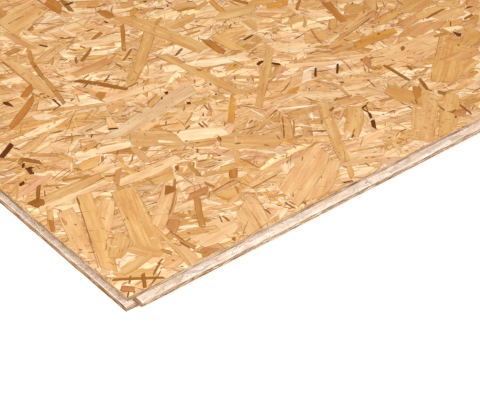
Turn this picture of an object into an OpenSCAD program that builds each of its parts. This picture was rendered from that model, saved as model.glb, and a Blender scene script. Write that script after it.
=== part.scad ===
// Tongue-and-groove OSB panel, lying flat with its worked face up.
// One long edge and one short edge carry a tongue, the two edges opposite carry the groove.
// The cutters run the whole way along each edge, so a groove also cuts off the end of the tongue it meets.

/* [Panel] */
// Length over everything, from the groove lip to the tip of the end tongue
panel_length = 2500; // [600:10:3600]
// Width over everything, from the groove lip to the tip of the side tongue
panel_width = 675; // [300:5:1250]
// Thickness of the board
thickness = 18; // [15:1:25]

/* [Tongue] */
// How far the tongue stands out from its shoulder
tongue_length = 10; // [8:0.5:14]
// Thickness of the tongue
tongue_thickness = 7; // [5:0.5:8]
// Depth of the tongue below the top face
tongue_drop = 4.5; // [3.5:0.25:6]
// Chamfer on both edges of the tongue's tip
tip_chamfer = 0.8; // [0.2:0.1:2]

/* [Groove] */
// Play between tongue and groove, above and below the tongue
groove_play = 0.2; // [0.1:0.05:0.5]
// Room left between the tip of the tongue and the back of the groove
glue_gap = 2; // [0.5:0.25:3]
// How far the lower lip stands out past the upper lip
lip_overhang = 1; // [0:0.25:2]
// Lead-in chamfer on the inner edge of both lips
lip_chamfer = 0.5; // [0.1:0.1:1]

/* [Hidden] */

// Heights above the face the panel lies on
tongue_top = thickness - tongue_drop;
tongue_bottom = tongue_top - tongue_thickness;
groove_top = tongue_top + groove_play;
groove_bottom = tongue_bottom - groove_play;

// Depth of the groove from the end of the lower lip
groove_depth = tongue_length + glue_gap;

// Extra length on each blank, which the other profile trims away
overrun = 20;

// Groove side of the section at 0, tip of the tongue at size, going round from the lower lip
function section(size) = let (shoulder = size - tongue_length) [
    [0, 0],
    [shoulder, 0],
    [shoulder, tongue_bottom],
    [size - tip_chamfer, tongue_bottom],
    [size, tongue_bottom + tip_chamfer],
    [size, tongue_top - tip_chamfer],
    [size - tip_chamfer, tongue_top],
    [shoulder, tongue_top],
    [shoulder, thickness],
    [lip_overhang, thickness],
    [lip_overhang, groove_top + lip_chamfer],
    [lip_overhang + lip_chamfer, groove_top],
    [groove_depth, groove_top],
    [groove_depth, groove_bottom],
    [lip_chamfer, groove_bottom],
    [0, groove_bottom - lip_chamfer],
];

// Board of the given size along X, with its section cut on the two edges across X
module edged_blank(size, run) {
    translate([-size / 2, run / 2, 0])
        rotate([90, 0, 0])
            linear_extrude(height = run)
                polygon(section(size));
}

// End tongue at +X and end groove at -X, side tongue at -Y and side groove at +Y
module osb_panel() {
    color("burlywood")
        intersection() {
            edged_blank(panel_length, panel_width + overrun);
            rotate([0, 0, -90])
                edged_blank(panel_width, panel_length + overrun);
        }
}

osb_panel();
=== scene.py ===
# Tongue-and-groove oriented strand board. The panel is the frame's solid, and its faces and worked edges are
# laid strand by strand, as thin closed flakes pressed into them.
import math
import bpy
import numpy as np
from mathutils import Matrix, Vector


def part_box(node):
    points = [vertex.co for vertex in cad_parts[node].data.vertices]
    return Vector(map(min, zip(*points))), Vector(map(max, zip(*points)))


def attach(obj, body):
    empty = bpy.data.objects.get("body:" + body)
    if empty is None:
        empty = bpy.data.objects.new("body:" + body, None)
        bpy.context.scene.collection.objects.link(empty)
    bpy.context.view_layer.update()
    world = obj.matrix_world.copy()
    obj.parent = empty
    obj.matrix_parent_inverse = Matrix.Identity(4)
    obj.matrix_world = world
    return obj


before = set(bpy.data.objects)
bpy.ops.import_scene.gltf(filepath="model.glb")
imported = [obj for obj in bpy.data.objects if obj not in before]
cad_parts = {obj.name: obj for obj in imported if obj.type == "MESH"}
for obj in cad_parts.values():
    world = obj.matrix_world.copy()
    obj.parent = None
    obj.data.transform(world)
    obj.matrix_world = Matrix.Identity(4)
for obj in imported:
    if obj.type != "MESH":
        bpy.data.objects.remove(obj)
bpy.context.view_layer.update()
mm = 0.001
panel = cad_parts["osb_panel"]
low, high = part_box("osb_panel")
print("frame loaded, panel", [round(v, 4) for v in high - low])

# The edge profile of the board, in metres
profile = {
    "tongueLength": 10 * mm,
    "lipOverhang": 1 * mm,      # the lower lip of the groove stands out past the upper one
    "grooveDepth": 12 * mm,     # from the end of the lower lip
    "tongueBottom": 6.5 * mm,
    "tongueTop": 13.5 * mm,
    "tipChamfer": 0.8 * mm,
    "grooveBottom": 6.3 * mm,
    "grooveTop": 13.7 * mm,
    "lipChamfer": 0.5 * mm,
}
shoulderX = high.x - profile["tongueLength"]
shoulderY = low.y + profile["tongueLength"]
lipX = low.x + profile["lipOverhang"]
lipY = high.y - profile["lipOverhang"]
grooveX = low.x + profile["grooveDepth"]
grooveY = high.y - profile["grooveDepth"]
# The near corner of the top face, between the end groove and the side tongue
nearCorner = Vector((lipX, shoulderY, high.z))

# Camera: a long lens above and outside the near corner
view = {
    "fromCorner": (-1.0045, -1.1823, 1.3941),  # metres
    "heading": 45.77,   # degrees from +X towards +Y
    "pitch": -39.28,
    "roll": 5.04,
    "lens": 154.9,      # mm on a 36 mm wide sensor
}


def placeCamera():
    heading, pitch, roll = (math.radians(view[turn]) for turn in ("heading", "pitch", "roll"))
    forward = Vector((math.cos(pitch) * math.cos(heading), math.cos(pitch) * math.sin(heading),
                      math.sin(pitch)))
    level = Vector((math.sin(heading), -math.cos(heading), 0))
    right = level * math.cos(roll) + level.cross(forward) * math.sin(roll)
    up = right.cross(forward)
    data = bpy.data.cameras.new("camera")
    data.lens = view["lens"]
    data.clip_start, data.clip_end = 0.05, 50
    camera = bpy.data.objects.new("camera", data)
    turned = Matrix((right, up, -forward)).transposed()
    camera.matrix_world = Matrix.Translation(nearCorner + Vector(view["fromCorner"])) @ turned.to_4x4()
    bpy.context.scene.collection.objects.link(camera)
    bpy.context.scene.camera = camera
    print("camera placed, lens", view["lens"])


placeCamera()


def linear(code):
    # an sRGB hex colour as linear red, green and blue
    value = np.array([int(code[i:i + 2], 16) for i in (1, 3, 5)]) / 255
    return np.where(value <= 0.04045, value / 12.92, ((value + 0.055) / 1.055) ** 2.4)


def addNode(tree, kind, settings=None, links=None):
    # one node, with its properties or socket values set, and other nodes' sockets linked into it
    node = tree.nodes.new(kind)
    for name, value in (settings or {}).items():
        if isinstance(name, str) and hasattr(node, name):
            setattr(node, name, value)
        else:
            node.inputs[name].default_value = value
    for name, socket in (links or {}).items():
        tree.links.new(socket, node.inputs[name])
    return node


# Colours of strands: sapwood, heartwood, resin-stained wood and bark, and the same wood where it is milled
tones = {
    "cream": "#FCE5BC", "pale": "#F4D4A5", "straw": "#ECC48F", "tan": "#E4BA7D", "honey": "#E2B674",
    "rose": "#E8BA90", "clay": "#DCAB72", "copper": "#C98F58", "gold": "#D9A966", "amber": "#D99E4C",
    "olive": "#CFAB66", "grey": "#EACDA6", "toast": "#C89552", "russet": "#C2853F", "brown": "#AA7433",
    # the whitest cut tone is pale milled wood brightened further as painted light, for the shaded groove
    # floors
    "bark": "#6E3B08", "cutWhiteLit": "#FFF3E6", "cutCream": "#E9DACB", "cutPink": "#DCC8B9",
    "cutTan": "#D8C2AA", "cutToast": "#B79A7C", "cutBrown": "#866546", "cutDark": "#452A12",
}

# Length, width, level above the face and tilt are in mm, lean and its spread in degrees from the way the
# face runs. Stray is the share of strands that lie at any angle. Stations are the sections that a strand is
# built from. Tip is the width left at an end, as a share of the whole, skew the slant of an end in half
# widths, and bow a share of the length. Figure is how strongly the growth rings show, from 0 to 1. Tones are
# weights. Fines lie in heaps: so many to one, and so wide in mm.
strandKinds = {
    "base": {"length": (70, 150), "width": (10, 34), "level": (0.02, 0.12), "stations": 5, "tilt": 0.03,
             "tip": (0.3, 1.0), "skew": 0.9, "bow": 0.012, "lean": -17, "spread": 13, "stray": 0.14,
             "figure": (0.45, 1.0),
             "tones": {"cream": 18, "pale": 28, "straw": 22, "tan": 14, "rose": 5, "grey": 2, "honey": 7}},
    "middle": {"length": (24, 90), "width": (3, 15), "level": (0.08, 0.2), "stations": 4, "tilt": 0.04,
               "tip": (0.1, 0.9), "skew": 1.0, "bow": 0.02, "lean": -17, "spread": 20, "stray": 0.3,
               "figure": (0.4, 1.0),
               "tones": {"cream": 24, "pale": 22, "straw": 18, "tan": 14, "rose": 5, "honey": 9,
                         "toast": 2}},
    "accent": {"length": (18, 95), "width": (3, 17), "level": (0.18, 0.26), "stations": 4, "tilt": 0.03,
               "tip": (0.55, 1.0), "skew": 0.8, "bow": 0.015, "lean": 10, "spread": 60, "stray": 0.6,
               "figure": (0.1, 0.5),
               "tones": {"tan": 26, "honey": 24, "rose": 8, "amber": 9, "toast": 9, "grey": 2, "russet": 3}},
    "darks": {"length": (7, 42), "width": (1.8, 7), "level": (0.24, 0.32), "stations": 4, "tilt": 0.03,
              "tip": (0.2, 0.9), "skew": 0.9, "bow": 0.03, "lean": 20, "spread": 60, "stray": 0.7,
              "figure": (0.3, 0.9), "tones": {"russet": 10, "brown": 10, "bark": 7, "toast": 6}},
    "chips": {"length": (4, 24), "width": (1.5, 6.5), "level": (0.14, 0.26), "stations": 3, "tilt": 0.03,
              "tip": (0.1, 0.9), "skew": 0.9, "bow": 0.02, "lean": -15, "spread": 30, "stray": 0.4,
              "figure": (0.3, 0.9),
              "tones": {"cream": 30, "pale": 26, "straw": 16, "tan": 10, "honey": 6, "rose": 6, "toast": 3}},
    "slivers": {"length": (6, 38), "width": (0.7, 2.8), "level": (0.16, 0.28), "stations": 3, "tilt": 0.02,
                "tip": (0.05, 0.6), "skew": 0.8, "bow": 0.05, "lean": -12, "spread": 35, "stray": 0.4,
                "figure": (0.1, 0.5),
                "tones": {"cream": 12, "pale": 16, "straw": 14, "honey": 10, "toast": 14, "russet": 4,
                          "brown": 8}},
    "fines": {"length": (1.5, 7), "width": (0.5, 1.4), "level": (0.3, 0.36), "stations": 2, "tilt": 0.01,
              "tip": (0.2, 1.0), "skew": 0.5, "bow": 0.0, "lean": 30, "spread": 50, "stray": 0.6,
              "figure": (0.0, 0.3), "heap": (12, 14),
              "tones": {"honey": 8, "toast": 12, "russet": 8, "brown": 8, "cream": 10, "bark": 2}},
    "milled": {"length": (18, 70), "width": (3, 14), "level": (0.005, 0.03), "stations": 3, "tilt": 0.004,
               "tip": (0.2, 0.9), "skew": 0.9, "bow": 0.01, "lean": -17, "spread": 25, "stray": 0.4,
               "figure": (0.2, 0.8), "tones": {"cutCream": 24, "cutPink": 62, "cutTan": 9}},
    "milledFines": {"length": (0.8, 3.2), "width": (0.4, 1.0), "level": (0.02, 0.05), "stations": 2,
                    "tilt": 0.003, "tip": (0.2, 0.9), "skew": 0.9, "bow": 0.0, "lean": 30, "spread": 50,
                    "stray": 0.6, "figure": (0.0, 0.4),
                    "tones": {"cutTan": 22, "cutToast": 14, "cutBrown": 5, "cutPink": 8}},
    "layers": {"length": (6, 40), "width": (0.5, 1.3), "level": (0.005, 0.07), "stations": 3, "tilt": 0.008,
               "tip": (0.1, 0.7), "skew": 0.8, "bow": 0.004, "lean": 0, "spread": 1.6, "stray": 0.0,
               "figure": (0.0, 0.6),
               "tones": {"cutTan": 16, "cutToast": 18, "cutPink": 8, "cutBrown": 20, "russet": 7,
                         "cutDark": 12}},
    "paleLayers": {"length": (9, 46), "width": (0.5, 1.25), "level": (0.005, 0.06), "stations": 3,
                   "tilt": 0.008, "tip": (0.1, 0.6), "skew": 0.8, "bow": 0.004, "lean": 0, "spread": 1.6,
                   "stray": 0.0, "figure": (0.0, 0.6),
                   "tones": {"cutTan": 22, "cutToast": 3, "cutPink": 34, "cutBrown": 3, "cutCream": 16}},
    "noseLayers": {"length": (2, 16), "width": (0.5, 1.2), "level": (0.01, 0.08), "stations": 3,
                   "tilt": 0.008, "tip": (0.1, 0.8), "skew": 0.9, "bow": 0.004, "lean": 0, "spread": 6,
                   "stray": 0.05, "figure": (0.2, 0.8),
                   "tones": {"cutTan": 20, "cutPink": 36, "cutCream": 14, "cutToast": 9, "cutBrown": 8,
                             "cutDark": 5}},
    "arris": {"length": (3, 26), "width": (0.4, 0.9), "level": (0.04, 0.12), "stations": 3, "tilt": 0.01,
              "tip": (0.1, 0.7), "skew": 0.8, "bow": 0.01, "lean": 0, "spread": 1.5, "stray": 0.0,
              "figure": (0.0, 0.5),
              "tones": {"brown": 14, "toast": 10, "bark": 6, "cutDark": 6, "cutTan": 6}},
}
# Painted light and shade: the groove floors get this whiter copy of the milled strand, standing in for light
# where the upper lip shades them, while the tongue tops keep the darker pink milled tones against the full
# lamp light on them
strandKinds["paleMilledLit"] = {**strandKinds["milled"],
                             "tones": {"cutWhiteLit": 66, "cutCream": 16, "cutPink": 2}}

# What holds for strands of every kind
everyStrand = {
    "shortBias": 1.3,                # above 1, short strands are commoner than long ones
    "narrowBias": 1.6,               # and narrow ones commoner than wide ones
    "typical": (0.9, 0.85),          # so the usual length and width, as shares of the middle ones
    "broadest": 0.8,                 # the greatest width, as a share of the length
    "shortest": 0.2,                 # the least length of a side, as a share of the width
    "steepest": 1.2,                 # the greatest skew of an end
    "lowest": 0.01 * mm,             # the least level above the face
    "ragged": 0.07,                  # how uneven the sides are, as a share of the width
    "widest": 1.25,                  # and the most that they may make of it
    "lighter": 0.05,                 # how far strands spread around their tone, lighter and darker
    "cooler": 0.025,                 # and how far cooler and warmer
    "coolTint": (-0.3, 0.2, 2.4),    # what a cooler strand gains in red, green and blue
    "sapwood": (0.55, 0.2),          # the linear green where sapwood starts, and the range it takes
    "plainSapwood": 0.6,             # how much of its figure sapwood loses
    "mapGap": 1.2 * mm,              # between two strands in the map that they are baked on
}


def pickTones(rng, weights, count):
    names = list(weights)
    share = np.array([weights[n] for n in names], float)
    colours = np.array([linear(tones[n]) for n in names])
    return varyTones(rng, colours[rng.choice(len(names), count, p=share / share.sum())])


def varyTones(rng, colours, spread=1.0):
    # no two strands are quite the same: some are lighter, some cooler
    lighter = 1 + rng.normal(0, everyStrand["lighter"] * spread, (len(colours), 1))
    cooler = rng.normal(0, everyStrand["cooler"] * spread, (len(colours), 1))
    return np.clip(colours * lighter * (1 + cooler * np.array(everyStrand["coolTint"])), 0.01, 1)


def shapeDetails(rng, look, tone):
    # what a strand has beside its place: tilt, blunt or pointed tips, slanting ends, bow, ragged sides and
    # figure, which the palest sapwood shows least
    count = len(tone)
    steepest, most = everyStrand["steepest"], everyStrand["widest"] - 1
    start, over = everyStrand["sapwood"]
    sapwood = np.clip((tone[:, 1] - start) / over, 0, 1)
    return {
        "tilt": rng.normal(0, look["tilt"], (count, 2)) * mm,
        "tips": rng.uniform(*look["tip"], (count, 2)),
        "skews": np.clip(rng.normal(0, look["skew"], (count, 2)), -steepest, steepest),
        "bow": rng.normal(0, look["bow"], count),
        "rough": np.clip(rng.normal(0, everyStrand["ragged"], (count, 2, look["stations"])), -most, most),
        "figure": rng.uniform(*look["figure"], count) * (1 - everyStrand["plainSapwood"] * sapwood),
        "seed": rng.uniform(0, 50, (count, 3)),
    }


def drawStrands(rng, kind, cover, size):
    # random strands that would cover a face of that size so many times over, one row each, in metres
    look = strandKinds[kind]
    long, wide = everyStrand["typical"]
    typical = np.mean(look["length"]) * long * mm * np.mean(look["width"]) * wide * mm
    count = max(4, int(cover * size[0] * size[1] / typical))   # never fewer than four
    lean = rng.normal(look["lean"], look["spread"], count)
    anyWay = rng.uniform(-90, 90, count)
    stray = rng.random(count) < look["stray"]
    length = look["length"][0] + np.ptp(look["length"]) * rng.random(count) ** everyStrand["shortBias"]
    width = look["width"][0] + np.ptp(look["width"]) * rng.random(count) ** everyStrand["narrowBias"]
    x, y = rng.random(count) * size[0], rng.random(count) * size[1]
    if "heap" in look:
        heap = np.arange(count) // look["heap"][0]
        x = np.clip(x[heap] + rng.normal(0, look["heap"][1] * mm, count), 0, size[0])
        y = np.clip(y[heap] + rng.normal(0, look["heap"][1] * mm, count), 0, size[1])
    strands = {
        "x": x,
        "y": y,
        "length": length * mm,
        "width": np.minimum(width, length * everyStrand["broadest"]) * mm,
        "angle": np.radians(np.where(stray, anyWay, lean)),
        "level": rng.uniform(*look["level"], count) * mm,
        "tone": pickTones(rng, look["tones"], count),
    }
    return {**strands, **shapeDetails(rng, look, strands["tone"])}


def layStrands(rng, rowsByTone, look):
    # strands listed one by one: rows of start x, start y, end x, end y and width, in mm
    rows = np.array([row for rows in rowsByTone.values() for row in rows], float) * mm
    colours = np.array([linear(tones[name]) for name, rows in rowsByTone.items() for _ in rows])
    count = len(rows)
    run = rows[:, 2:4] - rows[:, :2]
    strands = {
        "x": (rows[:, 0] + rows[:, 2]) / 2,
        "y": (rows[:, 1] + rows[:, 3]) / 2,
        "length": np.hypot(run[:, 0], run[:, 1]),
        "width": rows[:, 4],
        "angle": np.arctan2(run[:, 1], run[:, 0]),
        "level": np.linspace(*look["level"], count) * mm,
        "tone": varyTones(rng, colours, look["toneSpread"]),
    }
    return {**strands, **shapeDetails(rng, look, strands["tone"])}


def keep(strands, chosen):
    return {name: values[chosen] for name, values in strands.items()}


def cutToFace(x, y, runX, runY, first, last, size):
    # the stretch of each line from (x, y) along (runX, runY) that lies on the face, between first and last
    runX = np.where(abs(runX) < 1e-6, 1e-6, runX)
    runY = np.where(abs(runY) < 1e-6, 1e-6, runY)
    across = np.sort([-x / runX, (size[0] - x) / runX], axis=0)
    along = np.sort([-y / runY, (size[1] - y) / runY], axis=0)
    start = np.maximum(np.maximum(across[0], along[0]), first)
    end = np.minimum(np.minimum(across[1], along[1]), last)
    middle = np.clip((start + end) / 2, first, last)
    return np.where(end < start, middle, start), np.where(end < start, middle, end)


def shapeStrands(strands, size, thickness):
    # A strand is a strip carried along its own axis. At the share t of its length each half of its width
    # is w/2 * (1 - (1 - tip) * |2t - 1|^3) * (1 + rough), and its middle bows by
    # bow * length * (1 - (2t - 1)^2). Its two side lines start and end apart by the skew, where a cut or a
    # tear runs slanting, and stop at the border of the face. Each station has four corners: left bottom,
    # left top, right top, right bottom. Near and far are a corner's distances from the two ends and the two
    # sides, and grain is its place on the strand, moved by a seed so that no two strands are marked alike.
    count, stations = len(strands["x"]), strands["rough"].shape[2]
    t = np.linspace(0, 1, stations)[None, :]
    away = np.abs(2 * t - 1)
    tip = np.where(t < 0.5, strands["tips"][:, :1], strands["tips"][:, 1:])
    bow = (strands["bow"] * strands["length"])[:, None] * (1 - away ** 2)
    runX, runY = np.cos(strands["angle"]), np.sin(strands["angle"])
    half = strands["width"] / 2
    least = half * everyStrand["shortest"]
    corners = np.empty((count, stations, 4, 3))
    near, far, grain = (np.zeros((count, stations, 4, 3)) for _ in range(3))
    for side, (top, bottom), row in ((1, (1, 0), 0), (-1, (2, 3), 1)):
        x, y = strands["x"] - runY * half * side, strands["y"] + runX * half * side
        first = -strands["length"] / 2 + side * strands["skews"][:, 0] * half
        last = strands["length"] / 2 + side * strands["skews"][:, 1] * half
        first, last = np.minimum(first, -least), np.maximum(last, least)
        start, end = cutToFace(x, y, runX, runY, first, last, size)
        along = start[:, None] + (end - start)[:, None] * t
        narrow = (1 - (1 - tip) * away ** 3) * (1 + strands["rough"][:, row])
        shift = half[:, None] * side * (narrow - 1) + bow
        edgeX = np.clip(x[:, None] + runX[:, None] * along - runY[:, None] * shift, 0, size[0])
        edgeY = np.clip(y[:, None] + runY[:, None] * along + runX[:, None] * shift, 0, size[1])
        sideTilt, endTilt = strands["tilt"][:, :1] * side, strands["tilt"][:, 1:] * (2 * t - 1)
        level = np.maximum(strands["level"][:, None] + sideTilt + endTilt, everyStrand["lowest"])
        wide = 2 * half[:, None] * narrow
        for corner, height in ((top, level), (bottom, level - thickness)):
            corners[:, :, corner] = np.stack([edgeX, edgeY, height], 2)
            near[:, :, corner, 0] = along - start[:, None]
            far[:, :, corner, 0] = end[:, None] - along
            near[:, :, corner, 1] = 0 if side == 1 else wide
            far[:, :, corner, 1] = wide if side == 1 else 0
            grain[:, :, corner, 0] = along + strands["seed"][:, :1]
            grain[:, :, corner, 1] = half[:, None] * side * narrow + strands["seed"][:, 1:2]
            grain[:, :, corner, 2] = strands["seed"][:, 2:]
    return corners, near, far, grain


def bakeRows(strands):
    # where each strand lies on its own in the map: in rows, widest first, that fill a square
    order = np.argsort(-strands["width"], kind="stable")
    width = strands["width"][order]
    skew = np.abs(strands["skews"][order]).max(axis=1)
    long = strands["length"][order] + everyStrand["mapGap"] + skew * width
    wide = width * everyStrand["widest"] + everyStrand["mapGap"]
    side = math.sqrt((long * wide).sum()) * 1.03 + long.max() / 2   # a little more, as rows never fill up
    ends = np.cumsum(long)
    row = (ends / side).astype(int)
    opens = np.r_[True, row[1:] != row[:-1]]
    rowStart = np.maximum.accumulate(np.where(opens, ends - long, 0))
    rowHeight = np.where(opens, wide, 0)
    opener = np.maximum.accumulate(np.where(opens, np.arange(len(row)), 0))
    below = np.cumsum(rowHeight) - rowHeight[opener]
    place = np.empty((len(row), 2))
    place[order, 0] = ends - long - rowStart
    place[order, 1] = below
    whole = max((ends - rowStart).max(), (below + wide).max())
    return place, whole


def buildPiece(name, parts, material):
    # one mesh from several groups of strands, each on its own plane
    points, quads, tone, near, far, grain, bake = [], [], [], [], [], [], []
    base = 0
    sizes = {n: np.concatenate([p["strands"][n] for p in parts]) for n in ("width", "length", "skews")}
    place, whole = bakeRows(sizes)
    gap, widest = everyStrand["mapGap"], everyStrand["widest"]
    corner, nextCorner = np.arange(4), np.array([1, 2, 3, 0])
    done = 0
    for part in parts:
        strands = part["strands"]
        corners, nearHere, farHere, grainHere = shapeStrands(strands, part["size"], part["thickness"])
        count, stations = corners.shape[:2]
        origin, u, v = (np.array(part[n], float) for n in ("origin", "u", "v"))
        points.append((origin + corners @ np.array([u, v, np.cross(u, v)])).reshape(-1, 3))
        step = np.arange(count * stations).reshape(count, stations) * 4 + base
        here, there = step[:, :-1, None], step[:, 1:, None]
        sides = [here + nextCorner, there + nextCorner, there + corner, here + corner]
        quads.append(np.stack(sides, 3).reshape(-1, 4))
        quads.append(step[:, :1] + np.array([3, 2, 1, 0]))   # the two ends
        quads.append(step[:, -1:] + np.array([0, 1, 2, 3]))
        tone.append(np.repeat(np.c_[strands["tone"], strands["figure"]], stations * 4, axis=0))
        near.append(nearHere.reshape(-1, 3))
        far.append(farHere.reshape(-1, 3))
        grain.append(grainHere.reshape(-1, 3))
        own = place[done:done + count]
        margin = (np.abs(strands["skews"]).max(axis=1) * strands["width"] / 2)[:, None, None]
        across = grainHere[:, :, :, 1] - strands["seed"][:, 1, None, None]
        along = grainHere[:, :, :, 0] - strands["seed"][:, 0, None, None]
        mapU = own[:, 0, None, None] + along + strands["length"][:, None, None] / 2 + margin + gap / 2
        mapV = own[:, 1, None, None] + across + strands["width"][:, None, None] / 2 * widest + gap / 2
        bake.append(np.stack([mapU, mapV], 3).reshape(-1, 2) / whole)
        base += count * stations * 4
        done += count
    points, quads, tone = (np.concatenate(x) for x in (points, quads, tone))
    mesh = bpy.data.meshes.new(name)
    mesh.vertices.add(len(points))
    mesh.vertices.foreach_set("co", points.astype(np.float32).ravel())
    mesh.loops.add(quads.size)
    mesh.loops.foreach_set("vertex_index", quads.astype(np.int32).ravel())
    mesh.polygons.add(len(quads))
    mesh.polygons.foreach_set("loop_start", np.arange(0, quads.size, 4, dtype=np.int32))
    mesh.polygons.foreach_set("use_smooth", np.zeros(len(quads), bool))
    mesh.update(calc_edges=True)
    colour = mesh.attributes.new("tone", "FLOAT_COLOR", "POINT")
    colour.data.foreach_set("color", tone.astype(np.float32).ravel())
    for label, values in (("near", near), ("far", far), ("grain", grain)):
        held = mesh.attributes.new(label, "FLOAT_VECTOR", "POINT")
        held.data.foreach_set("vector", np.concatenate(values).astype(np.float32).ravel())
    uvMap = mesh.uv_layers.new(name="OFBake")
    uvMap.uv.foreach_set("vector", np.concatenate(bake)[quads.ravel()].astype(np.float32).ravel())
    mesh.materials.append(material)
    piece = bpy.data.objects.new(name, mesh)
    bpy.context.scene.collection.objects.link(piece)
    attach(piece, "root")
    print(name, len(quads) * 2, "triangles")


# Pine strand, sliced from the log, dried, dusted with resin and hot-pressed flat: matt, with darker latewood
# lines along it, short dark pores, a faint resin sheen and here and there a painted shadow line at its rim,
# where the gap beside the strand would be in shade. Sizes of marks are (length, width) in metres, and each
# depth is how far its tint goes in, from 0 to 1.
def makeStrandWood(name, look):
    material = bpy.data.materials.new(name)
    material.use_nodes = True
    tree = material.node_tree
    shader = tree.nodes["Principled BSDF"]
    tone, grain, near, far = (addNode(tree, "ShaderNodeAttribute", {"attribute_name": label})
                              for label in ("tone", "grain", "near", "far"))

    def along(size, detail, shift=0.0):
        # noise stretched along the strand: size is (length, width) of one mark in metres, and a shift of its
        # own keeps one pattern from following another
        settings = {"Scale": (1 / size[0], 1 / size[1], 1), "Location": (shift, shift, shift)}
        stretched = addNode(tree, "ShaderNodeMapping", settings, {"Vector": grain.outputs["Vector"]})
        return addNode(tree, "ShaderNodeTexNoise", {"Scale": 1.0, "Detail": detail},
                       {"Vector": stretched.outputs["Vector"]}).outputs["Fac"]

    def remap(socket, low, high, toLow, toHigh):
        settings = {"From Min": low, "From Max": high, "To Min": toLow, "To Max": toHigh}
        return addNode(tree, "ShaderNodeMapRange", settings, {"Value": socket}).outputs["Result"]

    def times(first, second):
        product = addNode(tree, "ShaderNodeMath", {"operation": "MULTIPLY"}, {0: first, 1: second})
        return product.outputs["Value"]

    def tint(colour, factor, code):
        mixed = addNode(tree, "ShaderNodeMix", {"data_type": "RGBA", "blend_type": "MULTIPLY"})
        tree.links.new(factor, mixed.inputs[0])
        tree.links.new(colour, mixed.inputs[6])
        mixed.inputs[7].default_value = (*linear(code), 1)
        return mixed.outputs[2]

    # noise keeps mostly between 0.3 and 0.7, so its low and high parts are picked out from within that
    figure = tone.outputs["Alpha"]
    rings = remap(along(look["rings"], 3), 0.38, 0.62, 1.0, 0.0)
    fibres = along(look["fibres"], 2, 7.0)
    poreFrom = look["poreFrom"]
    pores = remap(along(look["pores"], 1, 3.0), poreFrom, poreFrom + 0.04, 0.0, look["poreDepth"])
    cloud = remap(along(look["clouds"], 2, 11.0), 0.35, 0.65, 1.0, 0.0)
    ringShare = remap(times(rings, figure), 0, 1, 0, look["ringDepth"])
    colour = tint(tone.outputs["Color"], ringShare, look["ringTint"])
    colour = tint(colour, remap(cloud, 0, 1, 0, look["cloudDepth"]), look["cloudTint"])
    colour = tint(colour, remap(fibres, 0.3, 0.7, look["fibreDepth"], 0.0), look["ringTint"])
    colour = tint(colour, times(pores, figure), look["poreTint"])
    closest = addNode(tree, "ShaderNodeVectorMath", {"operation": "MINIMUM"},
                      {0: near.outputs["Vector"], 1: far.outputs["Vector"]})
    apart = addNode(tree, "ShaderNodeSeparateXYZ", None, {"Vector": closest.outputs["Vector"]})
    rim = addNode(tree, "ShaderNodeMath", {"operation": "MINIMUM"},
                  {0: apart.outputs["X"], 1: apart.outputs["Y"]})
    # Painted shade: the colour darkens in patches along each strand's ends and sides, standing in for the
    # shadow in the gap beside it
    shade = remap(rim.outputs["Value"], 0.0, look["rimShadeWidth"], 1.0, 0.0)
    patchy = remap(along(look["rimShadePatch"], 1, 19.0), 0.45, 0.65, 0.1, look["rimShadeDepth"])
    colour = tint(colour, times(shade, patchy), look["rimShadeTint"])
    tree.links.new(colour, shader.inputs["Base Color"])
    tree.links.new(remap(fibres, 0.3, 0.7, look["roughness"] + 0.08, look["roughness"] - 0.05),
                   shader.inputs["Roughness"])
    shader.inputs["IOR"].default_value = 1.5
    shader.inputs["Specular IOR Level"].default_value = look["gloss"]
    relief = addNode(tree, "ShaderNodeMath", {"operation": "MULTIPLY_ADD", 1: 0.5}, {0: rings, 2: fibres})
    bump = addNode(tree, "ShaderNodeBump", {"Strength": 0.4, "Distance": look["relief"]},
                   {"Height": relief.outputs["Value"]})
    tree.links.new(bump.outputs["Normal"], shader.inputs["Normal"])
    return material


faceWood = makeStrandWood("pressedPineStrand", {
    "rings": (0.09, 0.0024), "fibres": (0.02, 0.0013), "pores": (0.006, 0.0011), "clouds": (0.045, 0.009),
    "ringDepth": 0.5, "ringTint": "#CF9050", "cloudDepth": 0.42, "cloudTint": "#E2AA6C", "fibreDepth": 0.2,
    "poreFrom": 0.64, "poreDepth": 0.6, "poreTint": "#955A24",
    "rimShadeWidth": 1.1 * mm, "rimShadePatch": (0.02, 0.02), "rimShadeDepth": 0.85, "rimShadeTint": "#8F5622",
    "roughness": 0.6, "gloss": 0.03, "relief": 0.16 * mm,
})
# The same wood where a cutter has gone through it: dry, pale and fuzzy, with short torn fibres
milledWood = makeStrandWood("milledPineStrand", {
    "rings": (0.012, 0.0012), "fibres": (0.003, 0.0007), "pores": (0.0026, 0.0013), "clouds": (0.01, 0.004),
    "ringDepth": 0.3, "ringTint": "#D9B896", "cloudDepth": 0.2, "cloudTint": "#E4C8AE", "fibreDepth": 0.2,
    "poreFrom": 0.61, "poreDepth": 0.7, "poreTint": "#A67C58",
    "rimShadeWidth": 0.3 * mm, "rimShadePatch": (0.02, 0.02), "rimShadeDepth": 0.4, "rimShadeTint": "#B48A66",
    "roughness": 0.8, "gloss": 0.05, "relief": 0.1 * mm,
})


# What shows between the strands: dust, fines and glue on the faces, and layer upon layer of cut strands on
# the milled edges, pale where the cutter ran flat and darker on the ends of the layers
bedLook = {
    "fines": ("#C58E52", "#EFC48C"), "flat": ("#DEC1A7", "#F6E3D3"), "ends": ("#6B4A2C", "#B5926F"),
    "fineSize": 1.6 * mm, "flatSize": (26 * mm, 5 * mm, 2 * mm), "layerSize": (14 * mm, 14 * mm, 0.8 * mm),
    "faceDepth": 0.05 * mm,    # what lies within this of the top or the underside is a face
    "relief": 0.15 * mm, "roughness": 0.8,
}


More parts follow.
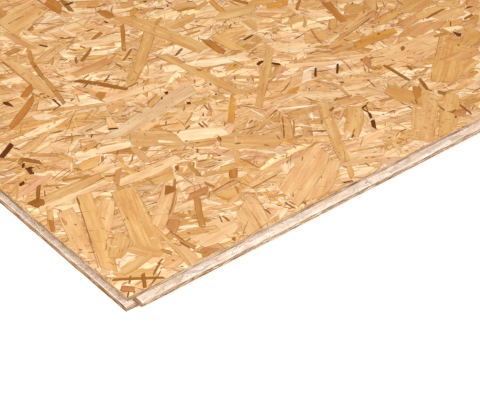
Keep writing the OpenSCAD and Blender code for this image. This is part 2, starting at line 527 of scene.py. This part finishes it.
def makeBed():
    material = bpy.data.materials.new("pressedFinesAndLayers")
    material.use_nodes = True
    tree = material.node_tree
    shader = tree.nodes["Principled BSDF"]
    place = addNode(tree, "ShaderNodeTexCoord")

    def noise(size, detail):
        sized = addNode(tree, "ShaderNodeMapping", {"Scale": tuple(1 / s for s in size)},
                        {"Vector": place.outputs["Object"]})
        return addNode(tree, "ShaderNodeTexNoise", {"Scale": 1.0, "Detail": detail},
                       {"Vector": sized.outputs["Vector"]}).outputs["Fac"]

    def ramp(socket, pair):
        node = addNode(tree, "ShaderNodeValToRGB", None, {"Fac": socket})
        for stop, (where, code) in zip(node.color_ramp.elements, zip((0.35, 0.62), pair)):
            stop.position, stop.color = where, (*linear(code), 1)
        return node.outputs["Color"]

    def compute(operation, socket, value):
        node = addNode(tree, "ShaderNodeMath", {"operation": operation, 1: value}, {0: socket})
        return node.outputs["Value"]

    def heightOf(vector):
        return addNode(tree, "ShaderNodeSeparateXYZ", None, {"Vector": vector}).outputs["Z"]

    def blend(share, first, second):
        mixed = addNode(tree, "ShaderNodeMix", {"data_type": "RGBA"})
        for port, socket in ((0, share), (6, first), (7, second)):
            tree.links.new(socket, mixed.inputs[port])
        return mixed.outputs[2]

    fromMiddle = compute("SUBTRACT", heightOf(place.outputs["Object"]), (low.z + high.z) / 2)
    outward = addNode(tree, "ShaderNodeMath", {"operation": "ABSOLUTE"}, {0: fromMiddle}).outputs["Value"]
    onFace = compute("GREATER_THAN", outward, (high.z - low.z) / 2 - bedLook["faceDepth"])
    up = heightOf(addNode(tree, "ShaderNodeNewGeometry").outputs["True Normal"])
    down = compute("MULTIPLY", up, -0.65)
    level = addNode(tree, "ShaderNodeMath", {"operation": "MAXIMUM"}, {0: up, 1: down}).outputs["Value"]
    # flats that face up or down and chamfers that look up are flat, chamfers that look down are not
    isFlat = compute("GREATER_THAN", level, 0.6)
    fine = noise((bedLook["fineSize"],) * 3, 3)
    edges = blend(isFlat, ramp(noise(bedLook["layerSize"], 2), bedLook["ends"]),
                  ramp(noise(bedLook["flatSize"], 3), bedLook["flat"]))
    tree.links.new(blend(onFace, edges, ramp(fine, bedLook["fines"])), shader.inputs["Base Color"])
    shader.inputs["Roughness"].default_value = bedLook["roughness"]
    bump = addNode(tree, "ShaderNodeBump", {"Strength": 0.4, "Distance": bedLook["relief"]},
                   {"Height": fine})
    tree.links.new(bump.outputs["Normal"], shader.inputs["Normal"])
    return material


panel.data.materials.clear()
panel.data.materials.append(makeBed())
print("woods and bed made")

# How thick a flake is, from its upper side down into the board
flakeThickness = {"face": 0.5 * mm, "flat": 0.2 * mm, "upright": 0.3 * mm}

# Each plane has its origin and size, and its u and v directions with the way out of the board at u x v
topFace = {"origin": nearCorner, "u": (1, 0, 0), "v": (0, 1, 0),
           "size": (shoulderX - lipX, lipY - shoulderY), "thickness": flakeThickness["face"]}
backFace = {"origin": (low.x, high.y, low.z), "u": (1, 0, 0), "v": (0, -1, 0),
            "size": (shoulderX - low.x, high.y - shoulderY), "thickness": flakeThickness["face"]}

# The pieces of each face, and how many times over the strands of each kind in them would cover it
topPieces = {
    "base_1": {"base": 1.1}, "base_2": {"base": 1.1}, "base_3": {"base": 1.1},
    "middle_1": {"middle": 0.4}, "middle_2": {"middle": 0.4},
    "chips": {"chips": 0.14}, "accents": {"accent": 0.2, "darks": 0.02},
    "slivers": {"slivers": 0.09, "fines": 0.012},
}
backPieces = {
    "base_1": {"base": 1.2}, "base_2": {"base": 1.2}, "middle": {"middle": 0.45},
    "small": {"chips": 0.04, "accent": 0.1, "darks": 0.03, "slivers": 0.015},
}

# Strands listed one by one near the corner, by tone: start x, start y, end x, end y and width, in mm from
# the corner, with x along the side tongue and y along the end groove. Later rows lie on earlier ones.
handLook = {"level": (0.27, 0.33), "tilt": 0.02, "tip": (0.65, 1.0), "skew": 0.6, "bow": 0.012,
            "stations": 5, "figure": (0.2, 0.65), "toneSpread": 0.4}
handField = (640 * mm, 480 * mm)   # where random accents and darks make room for them
handStrands = {
    "cream": [(190, 186, 262, 152, 18), (98, 218, 162, 196, 12), (280, 284, 376, 246, 14)],
    "pale": [(112, 25, 168, 28, 32), (12, 164, 100, 160, 10), (105, 150, 190, 148, 14),
             (186, 276, 268, 262, 12), (400, 206, 452, 178, 9), (500, 272, 516, 252, 14),
             (232, 381, 278, 364, 9), (412, 246, 455, 226, 22)],
    "straw": [(95, 70, 150, 112, 20), (495, 152, 594, 140, 30), (240, 22, 328, 66, 34),
              (250, -2, 322, 44, 26), (219, 61, 265, 63, 4), (178, 0, 195, 45, 32), (560, 192, 570, 188, 8),
              (2, 66, 34, 148, 22), (93, 2, 94, 32, 14), (45, 98, 82, 134, 18), (60, 14, 84, 18, 16)],
    "grey": [(152, 216, 285, 237, 22), (211, 41, 222, 57, 2.5)],
    "tan": [(12, 45, 66, 158, 20), (64, 42, 106, 140, 30), (167, 205, 212, 170, 27),
            (245, 143, 300, 100, 27), (309, 100, 334, 134, 14), (146, 315, 146, 402, 15),
            (372, 64, 412, 100, 20), (180, 456, 238, 470, 38), (400, 113, 433, 106, 12),
            (182, 66, 205, 66, 14), (618, 172, 660, 166, 18), (333, 32, 385, 125, 15),
            (425, 5, 500, 70, 30), (12, 175, 100, 172, 14), (183, 445, 187, 410, 5), (50, 60, 72, 32, 16),
            (28, 56, 58, 82, 18), (124, 36, 146, 30, 12), (405, 334, 455, 322, 26),
            (500, 222, 560, 234, 16), (455, 232, 492, 226, 22), (498, 288, 524, 286, 14),
            (640, 194, 664, 180, 12), (372, 376, 398, 366, 14), (338, 345, 378, 346, 13),
            (20, 34, 64, 40, 12), (108, 46, 132, 36, 13)],
    "honey": [(232, 286, 322, 360, 14), (310, 396, 345, 288, 22), (88, 196, 116, 194, 15),
              (322, 165, 410, 244, 11), (452, -5, 522, 52, 22), (530, 75, 612, 136, 36),
              (221, 237, 243, 249, 9), (425, 284, 426, 304, 13), (84, 228, 93, 212, 7),
              (2, 130, 25, 165, 7), (83, 0, 92, 72, 5), (234, 97, 248, 120, 7), (110, 218, 131, 221, 9),
              (290, 135, 332, 146, 5), (332, 36, 349, 58, 7), (321, 8, 331, 25, 7),
              (298, 306, 322, 195, 14), (12, 32, 48, 14, 16), (598, 190, 642, 186, 14),
              (470, 206, 522, 203, 12), (560, 76, 594, 84, 14), (612, 158, 640, 150, 12),
              (372, 300, 378, 262, 15)],
    "gold": [(596, 208, 648, 216, 30), (586, 122, 640, 124, 26), (538, 246, 568, 240, 14),
             (448, 330, 478, 318, 14), (466, 104, 492, 46, 24), (606, 112, 640, 122, 18),
             (538, 252, 562, 247, 18), (524, 240, 552, 227, 12), (498, 230, 514, 246, 10),
             (646, 140, 664, 150, 10), (548, 208, 592, 212, 14), (390, 356, 412, 362, 6)],
    "olive": [(472, 253, 484, 262, 4), (548, 118, 566, 121, 4), (476, 94, 482, 106, 4)],
    "clay": [(485, 210, 566, 228, 6), (170, 78, 215, 77, 6), (290, 132, 312, 137, 3),
             (126, 168, 140, 156, 5), (138, 138, 137, 126, 2), (87, 133, 90, 138, 1.5),
             (166, 155, 175, 158, 1.3), (5, 194, 17, 209, 2), (297, 308, 303, 281, 15),
             (264, 185, 272, 190, 5), (214, 253, 218, 233, 4), (457, 257, 463, 252, 4),
             (421, 118, 423, 150, 4), (463, 195, 506, 190, 8), (664, 163, 690, 176, 12),
             (156, 160, 161, 190, 10), (116, 73, 152, 106, 4), (105, 152, 124, 170, 8),
             (20, 128, 30, 152, 4), (60, 246, 84, 228, 6), (174, 450, 182, 405, 9),
             (556, 224, 586, 256, 14), (560, 166, 606, 172, 22), (600, 160, 622, 166, 12),
             (604, 128, 648, 138, 12), (560, 100, 612, 97, 18), (484, 222, 514, 229, 10),
             (566, 184, 598, 190, 14), (330, 390, 354, 388, 7), (322, 416, 338, 412, 12),
             (188, 336, 244, 334, 12)],
    "copper": [(103, 55, 118, 68, 13), (153, 87, 180, 86, 10), (485, 150, 487, 165, 12),
               (104, 8, 121, 8, 12), (2, 17, 14, 6, 10), (99, 52, 104, 18, 4), (495, 24, 510, 18, 12),
               (402, 124, 424, 118, 4), (442, 91, 460, 87, 5)],
    "amber": [(496, 188, 559, 183, 15), (342, 238, 355, 243, 10), (465, 312, 492, 303, 13),
              (319, 394, 333, 400, 8), (370, 163, 383, 168, 8), (276, 160, 316, 201, 7),
              (203, 205, 208, 206, 4), (331, 361, 346, 368, 4), (563, 65, 579, 66, 6),
              (414, 336, 418, 362, 8)],
    # Some of the thin toast and brown rows are painted shade: dark lines along the edges and ends of
    # strands, where a gap or a step would lie in shadow. The rest are resin streaks, bark and fines.
    "toast": [(62, 190, 90, 178, 4), (467, 215, 477, 246, 3), (345, 332, 372, 326, 2),
              (345, 323, 366, 320, 3), (552, 232, 572, 250, 3), (574, 195, 582, 195, 6),
              (147, 298, 158, 350, 6), (157, 350, 166, 385, 6), (166, 385, 178, 406, 5),
              (150, 413, 169, 414, 8), (447, 163, 452, 168, 8), (41, 240, 52, 246, 5),
              (519, 29, 540, 24, 4), (75, 38, 80, 27, 5), (201, 60, 206, 72, 3), (515, 57, 528, 58, 4),
              (5, 54, 56, 157, 1.2), (30, 159, 34, 159, 1.5), (103, 168, 113, 163, 3),
              (92, 38, 96, 30, 1.2), (19, 56, 21, 48, 1), (22, 51, 25, 44, 1), (27, 71, 36, 80, 1.5),
              (37, 82, 43, 86, 1.2), (43, 86, 48, 80, 1.2), (136, 66, 140, 70, 3),
              (120, 122, 124, 117, 1.2), (55, 194, 80, 199, 0.8), (57, 191, 84, 196, 0.8),
              (54, 198, 78, 204, 0.8), (31, 179, 36, 187, 1.5), (137, 190, 143, 196, 1.5),
              (127, 211, 133, 217, 5), (101, 264, 111, 261, 1.5), (111, 308, 128, 298, 1.3),
              (163, 291, 169, 305, 1.2), (211, 137, 219, 134, 2), (218, 133, 228, 127, 1.5),
              (221, 117, 224, 115, 2), (219, 59, 256, 60, 1.5), (313, 74, 333, 77, 2.5),
              (316, 99, 338, 123, 1.8), (362, 104, 374, 104, 1.5), (285, 77, 290, 81, 1.2),
              (236, 18, 237, 10, 2.5), (225, 14, 229, 9, 1.5), (182, 1, 192, 30, 1.5),
              (356, 25, 358, 23, 2), (362, 21, 366, 19, 2), (248, 209, 255, 216, 1.5),
              (202, 242, 208, 234, 2.5), (222, 235, 240, 241, 1.2), (225, 245, 244, 251, 1.2),
              (289, 237, 292, 234, 1.8), (345, 211, 348, 212, 3), (320, 252, 327, 256, 1.5),
              (244, 277, 249, 281, 1.8), (237, 268, 240, 271, 1.5), (257, 266, 268, 263, 2),
              (277, 286, 285, 293, 1.5), (243, 312, 242, 306, 2), (256, 340, 258, 334, 1.5),
              (351, 304, 356, 311, 1.2), (215, 181, 222, 184, 2), (427, 71, 430, 70, 2),
              (470, 142, 478, 155, 1.2), (473, 140, 481, 150, 1.2), (507, 149, 511, 143, 1.5),
              (497, 158, 510, 152, 1.5), (530, 135, 536, 132, 2.5), (536, 132, 554, 131, 2),
              (482, 95, 492, 97, 1.2), (411, 32, 420, 36, 1.2), (420, 36, 430, 35, 1.2),
              (411, 28, 414, 22, 2.5), (376, 10, 377, 6, 2), (381, 26, 387, 28, 1.5),
              (370, 61, 384, 71, 1.5), (471, 63, 474, 71, 1.2), (402, 155, 407, 153, 2.5),
              (543, 50, 549, 41, 1.5), (451, 261, 453, 259, 2), (427, 248, 438, 239, 1.5),
              (486, 228, 488, 222, 1.5), (520, 221, 570, 230, 1), (535, 217, 570, 228, 1),
              (436, 348, 438, 333, 3), (480, 278, 484, 282, 2), (472, 278, 474, 282, 1.5),
              (527, 206, 532, 207, 1.2), (181, 443, 183, 430, 2.5), (188, 462, 214, 465, 1.2),
              (211, 475, 238, 479, 1.2), (202, 487, 203, 484, 2.5), (172, 404, 178, 408, 1.5),
              (216, 380, 222, 373, 3), (223, 393, 228, 389, 4), (264, 378, 284, 375, 2.2),
              (286, 384, 292, 387, 1.5), (301, 409, 313, 421, 1.3), (343, 409, 349, 407, 2.5),
              (369, 378, 372, 361, 1.5), (656, 184, 661, 183, 3), (671, 173, 680, 180, 2.5),
              (571, 228, 578, 236, 1.8), (583, 227, 589, 237, 1.5), (581, 213, 588, 219, 1.5),
              (586, 213, 604, 225, 1.2), (560, 225, 568, 224, 1.5), (651, 147, 661, 146, 4),
              (186, 108, 190, 132, 5), (103, 34, 107, 20, 2.5), (103, 14, 107, 2, 2),
              (354, 270, 354, 300, 2), (363, 270, 363, 300, 2), (133, 40, 160, 82, 8),
              (588, 147, 606, 143, 5), (466, 236, 473, 212, 2), (560, 194, 574, 186, 3),
              (372, 366, 394, 361, 4)],
    "russet": [(247, 141, 247, 149, 7), (72, 298, 127, 328, 9), (118, 335, 138, 346, 9),
               (138, 350, 138, 403, 1.5), (266, 340, 298, 383, 5), (253, 325, 276, 338, 2.5),
               (86, 199, 88, 191, 4), (520, 233, 531, 277, 11), (359, 268, 358, 303, 9),
               (372, 368, 392, 361, 5), (90, 167, 101, 167, 1.2), (117, 190, 123, 198, 3),
               (150, 107, 161, 120, 3), (311, 261, 314, 257, 3), (482, 66, 498, 87, 9),
               (490, 286, 507, 299, 4), (286, 436, 294, 431, 3), (200, 438, 210, 441, 5),
               (214, 84, 224, 96, 10), (185, 284, 196, 290, 10), (250, 380, 268, 384, 5),
               (257, 449, 256, 475, 17), (183, 96, 187, 84, 4), (2, 127, 12, 144, 5),
               (296, 421, 297, 401, 13), (118, 77, 152, 108, 2.2)],
    "brown": [(137, 110, 150, 110, 14), (5, 31, 50, 2, 4), (24, 2, 36, 20, 4), (309, 297, 325, 304, 3),
              (213, 352, 238, 366, 4), (272, 466, 266, 440, 6), (497, 140, 500, 100, 5),
              (383, 111, 391, 113, 4), (505, 76, 512, 96, 5), (536, 151, 543, 151, 7),
              (608, 180, 640, 182, 3.5), (606, 217, 607, 229, 4), (645, 152, 661, 153, 4),
              (512, 11, 514, 32, 3), (255, 397, 265, 396, 3), (162, 31, 163, 42, 3), (22, 180, 37, 198, 4),
              (136, 244, 144, 243, 2.5), (511, 64, 516, 57, 6), (145, 6, 149, 6, 5),
              (449, 220, 452, 220, 3), (51, 145, 56, 156, 1.8), (7, 89, 9, 86, 1.5),
              (27, 124, 29, 121, 1.5), (12, 79, 17, 76, 1.2), (136, 159, 137, 157, 2), (98, 35, 101, 23, 3),
              (155, 34, 159, 43, 1.3), (24, 25, 15, 16, 2), (1, 1, 7, 7, 1.5), (73, 19, 75, 16, 1.5),
              (74, 6, 77, 4, 1.5), (114, 43, 116, 40, 2), (101, 89, 103, 94, 2), (58, 24, 60, 22, 2),
              (112, 217, 118, 219, 1.3), (130, 296, 141, 298, 1.8), (136, 329, 141, 326, 1.5),
              (156, 298, 162, 300, 2.5), (179, 303, 183, 299, 2), (171, 345, 174, 342, 2),
              (184, 325, 192, 318, 4), (185, 243, 188, 241, 2), (186, 159, 196, 159, 1.5),
              (213, 165, 216, 164, 2), (221, 156, 224, 154, 2), (211, 141, 216, 147, 2),
              (200, 135, 204, 134, 1.5), (225, 124, 229, 122, 2), (191, 124, 197, 130, 1.5),
              (255, 128, 261, 126, 2.5), (180, 78, 212, 81, 1.3), (295, 62, 301, 67, 1.5),
              (292, 148, 300, 150, 2), (320, 144, 336, 148, 1.5), (306, 104, 331, 135, 1.6),
              (301, 105, 303, 113, 1.5), (280, 108, 284, 104, 2), (358, 98, 363, 103, 2),
              (273, 84, 275, 81, 2), (246, 172, 247, 182, 2.5), (250, 170, 252, 182, 2),
              (267, 161, 272, 165, 1.5), (231, 19, 233, 5, 2.5), (221, 22, 224, 17, 1.5),
              (206, 352, 212, 362, 3), (215, 201, 220, 206, 1.8), (272, 194, 274, 204, 2),
              (228, 182, 236, 184, 2), (293, 243, 297, 248, 1.5), (305, 228, 306, 232, 2.2),
              (297, 211, 300, 213, 2), (334, 220, 339, 226, 1.8), (350, 241, 356, 244, 2.2),
              (242, 326, 244, 316, 2.5), (252, 343, 255, 340, 1.8), (261, 325, 264, 322, 2),
              (417, 83, 424, 94, 1.3), (425, 95, 431, 98, 1.5), (430, 145, 435, 143, 3),
              (402, 123, 408, 125, 2), (458, 114, 461, 130, 1.5), (436, 69, 445, 69, 1.8),
              (503, 77, 507, 70, 2), (492, 34, 492, 45, 2.2), (492, 16, 495, 20, 2.5),
              (495, 26, 503, 28, 1.8), (512, 142, 513, 138, 2), (491, 159, 497, 158, 2.2),
              (481, 162, 484, 164, 2.5), (519, 124, 520, 118, 1.5), (402, 35, 405, 34, 2),
              (401, 7, 404, 5, 1.5), (475, 62, 479, 70, 1.5), (549, 41, 556, 40, 1.5),
              (398, 304, 405, 309, 1.5), (409, 306, 411, 310, 1.8), (433, 266, 438, 263, 2),
              (494, 206, 497, 201, 2.5), (511, 221, 514, 221, 2), (495, 225, 497, 220, 2),
              (494, 234, 497, 232, 1.8), (487, 208, 555, 221, 1), (534, 190, 539, 190, 2),
              (548, 191, 550, 192, 2.2), (554, 255, 558, 258, 1.8), (372, 337, 379, 337, 1.5),
              (518, 262, 519, 256, 2), (209, 427, 212, 422, 1.5), (229, 457, 236, 461, 1.2),
              (162, 373, 165, 376, 2), (135, 380, 138, 380, 1.5), (195, 369, 199, 366, 2),
              (230, 377, 233, 371, 2.5), (221, 405, 225, 402, 2), (239, 362, 243, 360, 1.5),
              (297, 430, 309, 429, 2.2), (293, 421, 296, 422, 2), (349, 387, 353, 386, 3),
              (353, 386, 360, 381, 2.5), (333, 402, 333, 396, 1.5), (373, 393, 374, 383, 1.5),
              (366, 381, 369, 384, 2), (393, 378, 398, 373, 2), (606, 138, 610, 139, 2),
              (598, 116, 601, 118, 3), (620, 151, 628, 158, 1.8), (518, 122, 517, 113, 4),
              (10, 175, 26, 174, 13), (185, 326, 222, 278, 7), (48, 246, 62, 228, 6),
              (173, 131, 178, 137, 4), (43, 12, 60, 22, 2.5), (58, 22, 67, 26, 2), (101, 56, 103, 34, 1.8),
              (442, 346, 451, 331, 6)],
    "bark": [(32, 260, 56, 273, 6.5), (95, 330, 95, 340, 6.5), (42, 217, 45, 228, 6),
             (20, 210, 27, 211, 4.5), (141, 298, 142, 313, 2.5), (158, 232, 168, 227, 3),
             (254, 245, 255, 249, 5), (261, 215, 263, 219, 5), (375, 227, 386, 230, 5),
             (391, 220, 398, 212, 4.5), (402, 58, 411, 70, 5), (395, 275, 411, 276, 2.5),
             (440, 160, 454, 174, 3), (613, 136, 617, 130, 8), (350, 407, 353, 405, 3),
             (268, 455, 279, 454, 3), (137, 154, 139, 153, 1.5), (41, 232, 46, 238, 3),
             (53, 267, 57, 260, 1.3), (49, 184, 51, 181, 1.5), (133, 231, 138, 235, 1.3),
             (140, 322, 141, 318, 1.5), (136, 322, 137, 319, 1.2), (184, 310, 192, 313, 1.5),
             (247, 146, 248, 144, 2.5), (369, 60, 375, 63, 1.5), (306, 7, 309, 5, 1.8),
             (310, 6, 313, 3, 1.8), (314, 4, 316, 2, 1.8), (241, 240, 245, 244, 2), (412, 73, 417, 82, 3.5),
             (417, 82, 416, 92, 2), (416, 93, 425, 95, 2.2), (415, 170, 427, 183, 2.5),
             (193, 407, 199, 398, 2.8), (285, 401, 286, 396, 2.5), (44, 227, 50, 227, 4)],
}


def layFace(label, face, pieces, makeRoom):
    for name, kinds in pieces.items():
        parts = []
        for kind, cover in kinds.items():
            strands = drawStrands(rng, kind, cover, face["size"])
            if makeRoom and kind in ("accent", "darks"):   # for the listed strands
                inside = (strands["x"] < handField[0]) & (strands["y"] < handField[1])
                strands = keep(strands, ~inside)
            parts.append({**face, "strands": strands})
        buildPiece(f"{label}_{name}", parts, faceWood)


rng = np.random.default_rng(41)   # another number lays the random strands another way
layFace("top", topFace, topPieces, True)
buildPiece("top_picked", [{**topFace, "strands": layStrands(rng, handStrands, handLook)}], faceWood)
layFace("back", backFace, backPieces, False)

# Milled edges: flats that face up, and upright edges that show the ends of the layers
tongueTop, tongueBottom = low.z + profile["tongueTop"], low.z + profile["tongueBottom"]
grooveTop, grooveBottom = low.z + profile["grooveTop"], low.z + profile["grooveBottom"]
tip, lead = profile["tipChamfer"], profile["lipChamfer"]


def flat(x, y, z):
    # an upward plane over these spans of x and y
    return {"origin": (x[0], y[0], z), "u": (1, 0, 0), "v": (0, 1, 0), "size": (x[1] - x[0], y[1] - y[0]),
            "thickness": flakeThickness["flat"]}


def upright(side, where, run, z):
    # an upright plane facing that side of the board, at that x or y, over these spans of run and height
    start, turn = {
        "west": ((where, run[1]), (0, -1, 0)),
        "east": ((where, run[0]), (0, 1, 0)),
        "south": ((run[0], where), (1, 0, 0)),
        "north": ((run[1], where), (-1, 0, 0)),
    }[side]
    return {"origin": (*start, z[0]), "u": turn, "v": (0, 0, 1), "size": (run[1] - run[0], z[1] - z[0]),
            "thickness": flakeThickness["upright"]}


tongueFlats = [
    flat((grooveX, high.x - tip), (low.y + tip, shoulderY), tongueTop),
    flat((shoulderX, high.x - tip), (shoulderY, grooveY), tongueTop),
]
grooveFlats = [
    flat((low.x + lead, grooveX), (shoulderY, high.y - lead), grooveBottom),
    flat((grooveX, shoulderX), (grooveY, high.y - lead), grooveBottom),
]
rims = [   # ends of the lower lips, and the shoulders under the tongues
    upright("west", low.x, (shoulderY, high.y), (low.z, grooveBottom - lead)),
    upright("north", high.y, (low.x, shoulderX), (low.z, grooveBottom - lead)),
    upright("south", shoulderY, (low.x, shoulderX), (low.z, grooveBottom)),
    upright("east", shoulderX, (shoulderY, high.y), (low.z, grooveBottom)),
]
noses = [   # upright ends of the tongues, between their chamfers
    upright("south", low.y, (grooveX, high.x), (tongueBottom + tip, tongueTop - tip)),
    upright("east", high.x, (low.y, grooveY), (tongueBottom + tip, tongueTop - tip)),
]
slope = math.sqrt(0.5)
chamfers = [   # over the noses, at 45 degrees
    {**noses[0], "origin": (grooveX, low.y, tongueTop - tip), "v": (0, slope, slope)},
    {**noses[1], "origin": (high.x, low.y, tongueTop - tip), "v": (-slope, 0, slope)},
]
for plane in chamfers:
    plane["size"] = (plane["size"][0], tip / slope)
lips = [   # ends of the upper lips
    upright("west", lipX, (shoulderY, lipY), (grooveTop + lead, high.z)),
    upright("north", lipY, (lipX, shoulderX), (grooveTop + lead, high.z)),
]
shoulders = [   # over the tongues
    upright("south", shoulderY, (grooveX, shoulderX), (tongueTop, high.z)),
    upright("east", shoulderX, (shoulderY, lipY), (tongueTop, high.z)),
]
arrisBandWidth = 1 * mm


def bands(planes, top):
    # the band of dark arris fibres along the top or the bottom of upright planes: partly torn fibres, partly
    # painted shade where the edge steps back or turns under
    cut = []
    for plane in planes:
        x, y, z = plane["origin"]
        run, rise = plane["size"]
        lift = rise - arrisBandWidth if top else 0
        cut.append({**plane, "origin": (x, y, z + lift), "size": (run, arrisBandWidth)})
    return cut


# The planes of each piece, with the kind of strand on them and how many times over it would cover them
flatCovers = [
    # painted light on the groove floors: their strands are whiter than those on the tongue tops
    ("milled", 1.3, tongueFlats), ("paleMilledLit", 2.0, grooveFlats),
    ("milledFines", 0.17, tongueFlats), ("milledFines", 0.08, grooveFlats),
]
layerCovers = [
    ("layers", 0.8, rims + lips), ("paleLayers", 1.1, shoulders + chamfers), ("noseLayers", 0.65, noses),
    # Painted shade in part: dark arris fibres along the edges of lips, shoulders, rims and noses, where
    # shade falls along the edge
    ("arris", 0.32, bands(lips + shoulders, True)), ("arris", 0.9, bands(rims[:2], True)),
    ("arris", 0.6, bands(rims, False)), ("arris", 1.1, bands(noses, False)),
]
for name, covers in (("edge_flats", flatCovers), ("edge_layers", layerCovers)):
    parts = [{**plane, "strands": drawStrands(rng, kind, share, plane["size"])}
             for kind, share, planes in covers for plane in planes]
    buildPiece(name, parts, milledWood)


# A white studio: a floor that glows a little, like a light table, an even sky, and lamps that aim at the
# near corner, with their places from it in metres, their width in metres and their power in watts
studio = {
    "reach": 30.0, "floorGap": 0.4 * mm, "paint": 0.97, "paintRoughness": 0.9, "floorGlow": 0.19,
    "sky": 0.67, "lampColour": (0.95, 1.0, 0.99),
    "lamps": {"key": ((0.0, -2.5, 2.5), 1.8, 68), "side": ((-2.6, 0.0, 1.9), 1.8, 46)},
}


def layFloor():
    reach, ground, paint = studio["reach"], low.z - studio["floorGap"], studio["paint"]
    mesh = bpy.data.meshes.new("floor")
    mesh.from_pydata([(x * reach, y * reach, ground) for x, y in ((-1, -1), (1, -1), (1, 1), (-1, 1))],
                     [], [(0, 1, 2, 3)])
    floor = bpy.data.objects.new("floor", mesh)
    bpy.context.scene.collection.objects.link(floor)
    # Matt white paint
    white = bpy.data.materials.new("paintedStudioFloor")
    white.use_nodes = True
    shader = white.node_tree.nodes["Principled BSDF"]
    shader.inputs["Base Color"].default_value = (paint, paint, paint, 1)
    shader.inputs["Roughness"].default_value = studio["paintRoughness"]
    shader.inputs["Emission Color"].default_value = (1, 1, 1, 1)
    shader.inputs["Emission Strength"].default_value = studio["floorGlow"]
    mesh.materials.append(white)


def lightStudio():
    world = bpy.data.worlds.new("studio")
    world.use_nodes = True
    sky = world.node_tree.nodes["Background"]
    sky.inputs["Color"].default_value = (1, 1, 1, 1)
    sky.inputs["Strength"].default_value = studio["sky"]
    bpy.context.scene.world = world
    for name, (place, size, power) in studio["lamps"].items():
        data = bpy.data.lights.new(name, "AREA")
        data.size, data.energy, data.color = size, power, studio["lampColour"]
        lamp = bpy.data.objects.new(name, data)
        lamp.location = nearCorner + Vector(place)
        lamp.rotation_euler = (nearCorner - lamp.location).to_track_quat("-Z", "Y").to_euler()
        bpy.context.scene.collection.objects.link(lamp)
    bpy.context.scene.view_settings.view_transform = "Standard"


layFloor()
lightStudio()
print("floor laid, sky and", len(studio["lamps"]), "lamps lit")
